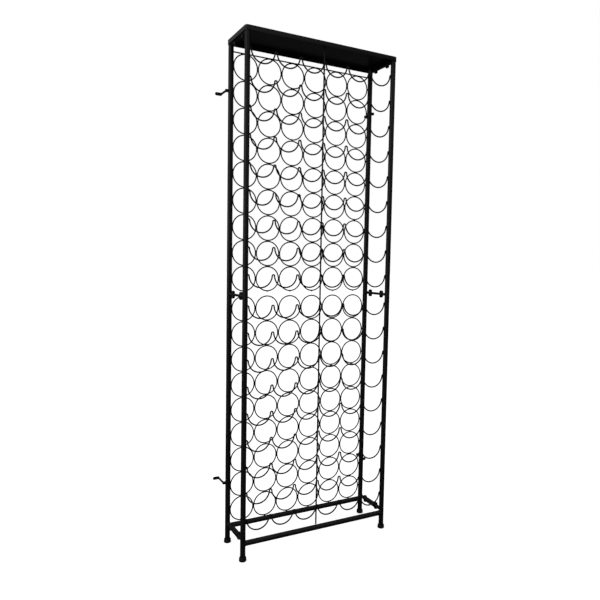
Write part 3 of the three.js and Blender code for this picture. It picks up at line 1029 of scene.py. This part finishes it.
class RACK_OT_cradle_wires(bpy.types.Operator):
    """Eighteen wires between the front posts, each bent into six cradles"""

    bl_idname = "rack.cradle_wires"
    bl_label = "Cradle wires"
    bl_options = {"REGISTER", "UNDO"}

    def execute(self, context):
        scene = context.scene
        sizes = scene.rack_wires
        end = POST_X - TUBE_RADIUS + SINK
        pitch = 2 * (POST_X - TUBE_RADIUS) / COLUMNS
        flat = cradle_path(pitch, sizes.cradle_depth, sizes.peak_radius, end)
        spot = sizes.nugget
        for row in range(1, ROWS + 1):
            node = f"cradle_wire_row_{row:02d}"
            bottom = middle(node, 2) - sizes.cradle_depth / 2
            path = flat[:, :1] * X_AXIS + (flat[:, 1:] + bottom) * Z_AXIS + FRONT_Y * Y_AXIS
            peak = bottom + sizes.cradle_depth
            ends = [(s * (end - SINK), FRONT_Y, peak) for s in (-1, 1)]
            patches = [
                swept(path, sizes.cradle_wire / 2, Y_AXIS, CRADLE_SIDES),
                nuggets(ends, (1.1 * spot, 1.5 * spot, 1.5 * spot), row),
                nuggets([(0, FRONT_Y + sizes.cradle_wire / 2, peak)], (1.5 * spot, 0.8 * spot, spot), row),
            ]
            piece(f"cradle_row_{row:02d}", patches, "wire_coat", [node])
        return {"FINISHED"}


class RACK_OT_straight_wires(bpy.types.Operator):
    """The wire in front of the top rings, and the two upright rods behind the cradles"""

    bl_idname = "rack.straight_wires"
    bl_label = "Straight wires and rods"
    bl_options = {"REGISTER", "UNDO"}

    def execute(self, context):
        scene = context.scene
        sizes = scene.rack_wires
        reach = POST_X - TUBE_RADIUS + SINK
        spot = sizes.nugget
        middle_of_wire = np.array([0, REAR_Y, TOP_WIRE_HEIGHT])
        wire = round_bar(middle_of_wire - reach * X_AXIS, middle_of_wire + reach * X_AXIS, sizes.top_wire / 2)
        at_posts = [middle_of_wire + s * (reach - SINK) * X_AXIS for s in (-1, 1)]
        ends = nuggets(at_posts, (spot, 1.3 * spot, 1.3 * spot))
        columns = column_places(sizes.ring_diameter - RING_WELD)
        touch = REAR_Y + sizes.top_wire / 2
        rings = nuggets([(x, touch, TOP_WIRE_HEIGHT) for x in columns], (1.4 * spot, 0.8 * spot, spot))
        piece("top_ring_wire", [wire, ends, rings], "wire_coat", ["rear_top_wire"])
        rod_y = FRONT_Y + (sizes.cradle_wire + sizes.centre_rod) / 2 - SINK
        for half in ("lower", "upper"):
            node = f"centre_rod_{half}"
            rod = round_bar((0, rod_y, low(node, 2)), (0, rod_y, high(node, 2)), sizes.centre_rod / 2)
            piece(f"upright_rod_{half}", [rod], "wire_coat", [node])
        return {"FINISHED"}


def floor_finish(settings):
    """The floor is pale where it is seen, and darker where it only throws light back at the rack."""
    material = bpy.data.materials.new("studio_floor")
    material.use_nodes = True
    tree = material.node_tree
    shader = tree.nodes["Principled BSDF"]
    pale = tree.nodes.new("ShaderNodeMix")
    pale.data_type = "RGBA"
    pale.inputs["A"].default_value = (*settings.floor_bounce, 1)
    pale.inputs["B"].default_value = (*settings.floor, 1)
    glow = tree.nodes.new("ShaderNodeMath")
    glow.operation = "MULTIPLY"
    glow.inputs[1].default_value = settings.floor_glow
    shader.inputs["Emission Color"].default_value = (1, 1, 1, 1)
    sight = tree.nodes.new("ShaderNodeLightPath").outputs["Is Camera Ray"]
    link(tree, [
        (sight, pale.inputs["Factor"]),
        (pale.outputs["Result"], shader.inputs["Base Color"]),
        (sight, glow.inputs[0]),
        (glow.outputs[0], shader.inputs["Emission Strength"]),
    ])
    shader.inputs["Roughness"].default_value = 0.9
    shader.inputs["Specular IOR Level"].default_value = 0.1
    return material


def white_backdrop(settings):
    """The backdrop is white where it is seen, and dimmer where it only lights the rack."""
    world = bpy.data.worlds.new("studio_backdrop")
    world.use_nodes = True
    tree = world.node_tree
    background = tree.nodes["Background"]
    background.inputs["Color"].default_value = (1, 1, 1, 1)
    seen = tree.nodes.new("ShaderNodeMapRange")
    seen.inputs["To Min"].default_value = settings.fill
    seen.inputs["To Max"].default_value = settings.backdrop
    link(tree, [
        (tree.nodes.new("ShaderNodeLightPath").outputs["Is Camera Ray"], seen.inputs["Value"]),
        (seen.outputs["Result"], background.inputs["Strength"]),
    ])
    return world


def camera_rotation(turn_z, tilt, roll):
    """The rotation of a camera that is turned about Z, tilted down and then rolled about its own axis.
    Its back is (sin turn cos tilt, -cos turn cos tilt, sin tilt), and its other two axes are level and
    upright before the roll."""
    back = np.array([
        math.sin(turn_z) * math.cos(tilt),
        -math.cos(turn_z) * math.cos(tilt),
        math.sin(tilt),
    ])
    right = np.cross(-back, Z_AXIS)
    right = right / np.linalg.norm(right)
    up = np.cross(right, -back)
    rolled = [
        math.cos(roll) * right + math.sin(roll) * up,
        math.cos(roll) * up - math.sin(roll) * right,
        back,
    ]
    return Matrix(np.stack(rolled, -1).tolist()).to_4x4()


class RACK_OT_stage(bpy.types.Operator):
    """The pale floor, the white backdrop, the soft lights and the camera"""

    bl_idname = "rack.stage"
    bl_label = "Stage"
    bl_options = {"REGISTER", "UNDO"}

    def execute(self, context):
        scene = context.scene
        settings = scene.rack_studio
        square = FLOOR_REACH * np.array([(-1, -1, 0), (1, -1, 0), (1, 1, 0), (-1, 1, 0)])
        mesh = bpy.data.meshes.new("studio_floor")
        mesh.from_pydata(square, [], [(0, 1, 2, 3)])
        mesh.materials.append(floor_finish(settings))
        floor = bpy.data.objects.new("studio_floor", mesh)
        scene.collection.objects.link(floor)

        scene.world = white_backdrop(settings)
        scene.view_settings.view_transform = "Standard"

        ceiling = bpy.data.lights.new("ceiling_light", "SUN")
        ceiling.energy = settings.ceiling
        ceiling.angle = CEILING_SPREAD
        lamps = [(ceiling, CEILING_PLACE, CEILING_TURN)]
        for name, place, turn, size, share in LAMPS:
            lamp = bpy.data.lights.new(name, "AREA")
            lamp.shape = "SQUARE"
            lamp.size = size
            lamp.energy = share * settings.key
            lamps.append((lamp, place, turn))
        for lamp, place, turn in lamps:
            holder = bpy.data.objects.new(lamp.name, lamp)
            holder.location = place
            holder.rotation_euler = [math.radians(a) for a in turn]
            scene.collection.objects.link(holder)

        camera = bpy.data.objects.new("camera", bpy.data.cameras.new("camera"))
        camera.data.sensor_width = SENSOR_WIDTH
        camera.data.lens = LENS
        camera.data.shift_x, camera.data.shift_y = CAMERA_SHIFT
        camera.data.clip_end = 1.5 * FLOOR_REACH
        camera.matrix_world = Matrix.Translation(CAMERA_PLACE) @ camera_rotation(*CAMERA_TURN)
        scene.collection.objects.link(camera)
        scene.camera = camera
        return {"FINISHED"}


OPERATORS = (
    RACK_OT_posts,
    RACK_OT_couplers,
    RACK_OT_feet,
    RACK_OT_rails,
    RACK_OT_side_ties,
    RACK_OT_wing_nuts,
    RACK_OT_wall_brackets,
    RACK_OT_top_panel,
    RACK_OT_ring_panels,
    RACK_OT_cradle_wires,
    RACK_OT_straight_wires,
    RACK_OT_stage,
)


class RACK_PT_sidebar(bpy.types.Panel):
    """Lists the pieces of the wine rack and their sizes"""

    bl_label = "Wine rack"
    bl_idname = "RACK_PT_sidebar"
    bl_space_type = "VIEW_3D"
    bl_region_type = "UI"
    bl_category = "Wine rack"

    def draw(self, context):
        for name, group in SETTINGS.items():
            box = self.layout.box()
            for setting in group.__annotations__:
                box.prop(getattr(context.scene, name), setting)
        for operator in OPERATORS:
            self.layout.operator(operator.bl_idname)


CLASSES = (*SETTINGS.values(), *OPERATORS, RACK_PT_sidebar)


def register():
    for each in CLASSES:
        bpy.utils.register_class(each)
    for name, group in SETTINGS.items():
        setattr(bpy.types.Scene, name, PointerProperty(type=group))


def unregister():
    for name in SETTINGS:
        delattr(bpy.types.Scene, name)
    for each in reversed(CLASSES):
        bpy.utils.unregister_class(each)


def main():
    register()
    for operator in OPERATORS:
        _, call = operator.bl_idname.split(".")
        getattr(bpy.ops.rack, call)()


if __name__ == "__main__":
    main()
